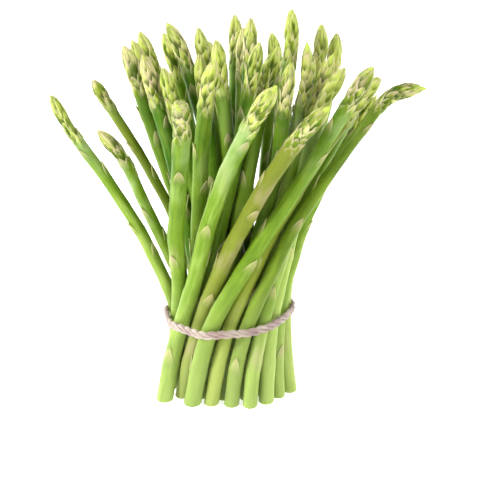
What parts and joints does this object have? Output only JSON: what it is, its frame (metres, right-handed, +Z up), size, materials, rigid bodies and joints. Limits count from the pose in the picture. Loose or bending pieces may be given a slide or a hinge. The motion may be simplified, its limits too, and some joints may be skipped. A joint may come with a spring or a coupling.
{
  "type": "asparagus bundle",
  "caption": "Bundle of green asparagus spears, tied at the waist with twisted twine and fanning out above it, standing on its cut ends",
  "frame": {"origin": "on the surface that the cut ends stand on, below the middle of the whole outline", "axes": "+Z up along the bundle; X across the wide fan of heads; -Y towards the side the heads lean to, which is the front; the knot is at the back, +Y"},
  "size_m": [0.2054, 0.128, 0.224],
  "materials": {
    "spear": "satin",
    "twine": "matte"
  },
  "bodies": {
    "root": {"spear_01": "spear", "spear_02": "spear", "spear_03": "spear", "spear_04": "spear", "spear_05": "spear", "spear_06": "spear", "spear_07": "spear", "spear_08": "spear", "spear_09": "spear", "spear_10": "spear", "spear_11": "spear", "spear_12": "spear", "spear_13": "spear", "spear_14": "spear", "spear_15": "spear", "spear_16": "spear", "spear_17": "spear", "spear_18": "spear", "spear_19": "spear", "spear_20": "spear", "spear_21": "spear", "spear_22": "spear", "spear_23": "spear", "spear_24": "spear", "spear_25": "spear", "spear_26": "spear", "spear_27": "spear", "spear_28": "spear", "spear_29": "spear", "spear_30": "spear", "spear_31": "spear", "spear_32": "spear", "spear_33": "spear", "spear_34": "spear", "spear_35": "spear", "spear_36": "spear", "twine_tie": "twine"}
  },
  "joints": []
}
